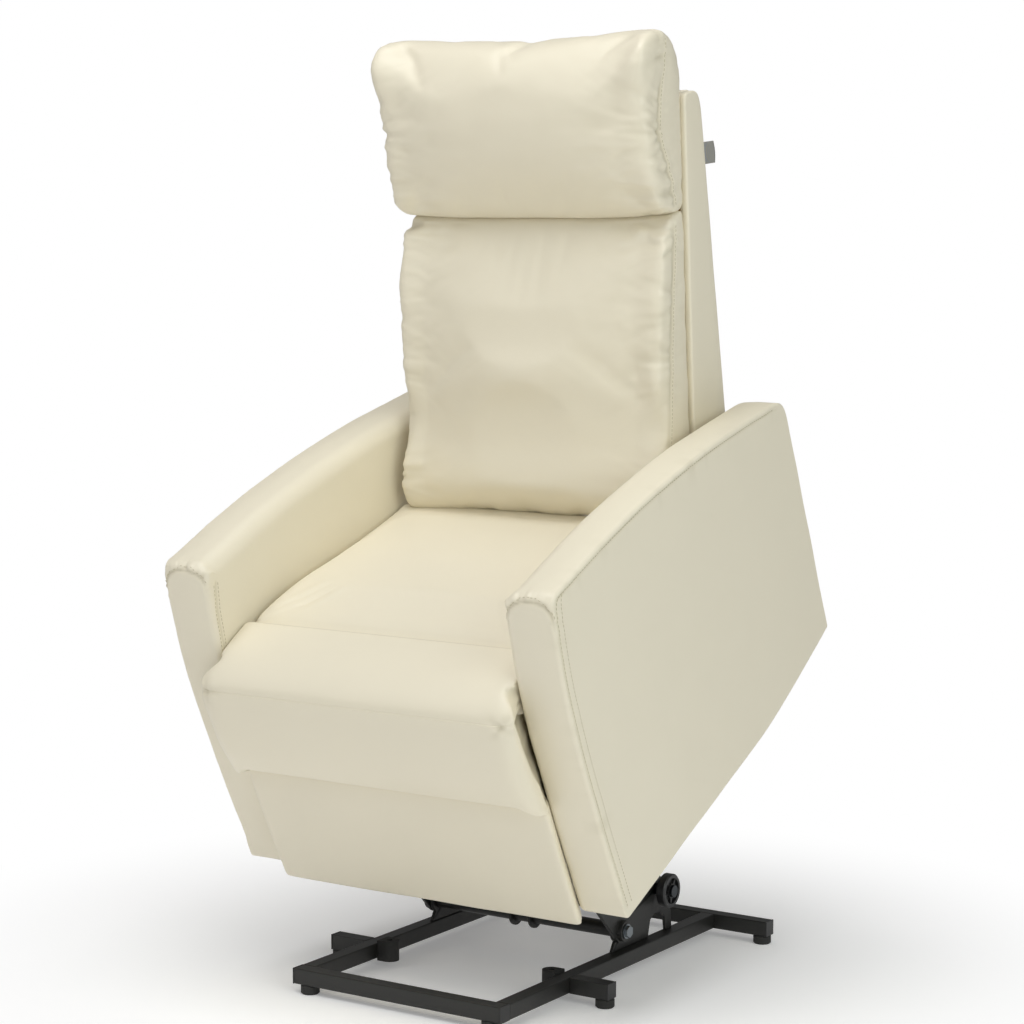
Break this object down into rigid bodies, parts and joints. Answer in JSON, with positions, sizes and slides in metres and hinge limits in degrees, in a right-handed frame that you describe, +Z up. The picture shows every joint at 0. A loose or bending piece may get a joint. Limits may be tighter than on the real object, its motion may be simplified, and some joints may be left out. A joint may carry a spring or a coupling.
{
  "type": "lift recliner",
  "caption": "Upholstered lift armchair with a swing-out legrest and a reclining back, shown raised and tipped forward on its steel base by an electric actuator.",
  "frame": {"origin": "on the floor, under the middle of the raised chair's bounding box", "axes": "+Z up, +Y to the rear of the chair, +X to the left arm of the sitter, who faces -Y"},
  "size_m": [0.708, 0.8622, 1.4993],
  "materials": {
    "black_steel": "semi-gloss black powder coat",
    "zinc": "zinc plated",
    "grey_steel": "grey phosphate coat",
    "leather": "ivory faux leather, fine grain",
    "wood": "raw plywood and pine",
    "rubber": "matt black rubber",
    "plastic": "black moulded nylon",
    "housing": "dark grey glass-filled nylon",
    "rod": "ground and chromed rod"
  },
  "bodies": {
    "base": {"base_front_bar": "black_steel", "base_side_bar_left": "black_steel", "base_side_bar_right": "black_steel", "base_rear_bar": "black_steel", "base_outriggers": "black_steel", "base_end_plugs": "plastic", "base_feet": "plastic", "rest_blocks": "rubber", "base_bracket_left": "black_steel", "base_bracket_right": "black_steel", "bracket_bolts": "zinc", "motor_clevis": "black_steel", "motor_clevis_pin": "zinc"},
    "roller_left": {"bracket_roller_left": "plastic"},
    "roller_right": {"bracket_roller_right": "plastic"},
    "lift_arms": {"lift_shaft": "black_steel", "lift_arm_left": "black_steel", "lift_arm_right": "black_steel", "shaft_bolts": "zinc", "lift_crank": "black_steel", "crank_pin": "zinc"},
    "rear_links": {"rear_link_left": "black_steel", "rear_link_right": "black_steel", "rear_link_pins": "zinc"},
    "actuator": {"actuator_housing": "housing", "actuator_motor": "housing", "actuator_tube": "housing"},
    "actuator_rod": {"actuator_rod": "rod"},
    "chair": {"seat_side_rails": "wood", "seat_front_rail": "wood", "seat_rear_rail": "wood", "seat_cross_tubes": "black_steel", "seat_springs": "grey_steel", "lift_plate_left": "black_steel", "lift_plate_right": "black_steel", "lift_pins": "zinc", "side_plate_left": "grey_steel", "side_plate_right": "grey_steel", "arm_left": "leather", "arm_right": "leather", "seat_cushion": "leather", "front_roll": "leather"},
    "leg_long": {"leg_links_long": "grey_steel", "leg_drive_bar": "grey_steel"},
    "leg_front": {"leg_links_front": "grey_steel"},
    "leg_lower": {"leg_links_lower": "grey_steel"},
    "leg_upper": {"leg_links_upper": "grey_steel"},
    "legrest": {"legrest_brackets": "grey_steel", "legrest_board": "wood", "legrest_pad": "leather", "legrest_panel": "leather"},
    "back": {"back_stiles": "wood", "back_rails": "wood", "back_springs": "grey_steel", "back_hinge_brackets": "grey_steel", "back_side_panels": "leather", "back_rear_panel": "leather", "back_cushion": "leather", "head_pillow": "leather"}
  },
  "joints": [
    {"name": "lift", "type": "hinge", "parent": "base", "child": "lift_arms", "pos_m": [0, 0.05533, 0.073], "axis": [1, 0, 0], "range_deg": [0, 43]},
    {"name": "chair_tilt", "type": "hinge", "parent": "lift_arms", "child": "chair", "pos_m": [0, -0.1442, 0.25799], "axis": [1, 0, 0], "range_deg": [-69.21, 0]},
    {"name": "rear_link_swing", "type": "hinge", "parent": "base", "child": "rear_links", "pos_m": [0, 0.17533, 0.116], "axis": [1, 0, 0], "range_deg": [0, 38.14]},
    {"name": "actuator_swing", "type": "hinge", "parent": "base", "child": "actuator", "pos_m": [0, 0.31533, 0.06], "axis": [1, 0, 0], "range_deg": [0, 8.63]},
    {"name": "ram_slide", "type": "slide", "parent": "actuator", "child": "actuator_rod", "axis": [0, -0.8704, 0.4923], "range_m": [0, 0.07596]},
    {"name": "legrest_swing", "type": "hinge", "parent": "chair", "child": "leg_long", "pos_m": [0, -0.20568, 0.49912], "axis": [1, 0, 0], "range_deg": [-86.66, 0]},
    {"name": "front_link_swing", "type": "hinge", "parent": "chair", "child": "leg_front", "pos_m": [0, -0.25013, 0.49298], "axis": [1, 0, 0], "range_deg": [-86.89, 0]},
    {"name": "lower_link_swing", "type": "hinge", "parent": "leg_long", "child": "leg_lower", "pos_m": [0, -0.041, 0.30828], "axis": [1, 0, 0], "range_deg": [0, 89.5]},
    {"name": "upper_link_swing", "type": "hinge", "parent": "leg_long", "child": "leg_upper", "pos_m": [0, -0.07669, 0.36767], "axis": [1, 0, 0], "range_deg": [0, 90.01]},
    {"name": "board_swing", "type": "hinge", "parent": "leg_lower", "child": "legrest", "pos_m": [0, -0.26379, 0.32897], "axis": [1, 0, 0], "range_deg": [-88.83, 0]},
    {"name": "recline", "type": "hinge", "parent": "chair", "child": "back", "pos_m": [0, 0.14254, 0.73321], "axis": [1, 0, 0], "range_deg": [-30, 0]},
    {"name": "roller_left_turn", "type": "hinge", "parent": "base", "child": "roller_left", "pos_m": [0, 0.17533, 0.116], "axis": [1, 0, 0], "continuous": true},
    {"name": "roller_right_turn", "type": "hinge", "parent": "base", "child": "roller_right", "pos_m": [0, 0.17533, 0.116], "axis": [1, 0, 0], "continuous": true}
  ],
  "couplings": [
    {"joint": "chair_tilt", "follows": "lift", "ratio": -1.6093},
    {"joint": "rear_link_swing", "follows": "lift", "ratio": 0.88663},
    {"joint": "actuator_swing", "follows": "lift", "ratio": 0.20046},
    {"joint": "ram_slide", "follows": "lift", "m_per_rad": 0.10108},
    {"joint": "front_link_swing", "follows": "legrest_swing", "ratio": 1.0025},
    {"joint": "lower_link_swing", "follows": "legrest_swing", "ratio": -1.0326},
    {"joint": "upper_link_swing", "follows": "legrest_swing", "ratio": -1.0385},
    {"joint": "board_swing", "follows": "legrest_swing", "ratio": 1.0249}
  ]
}
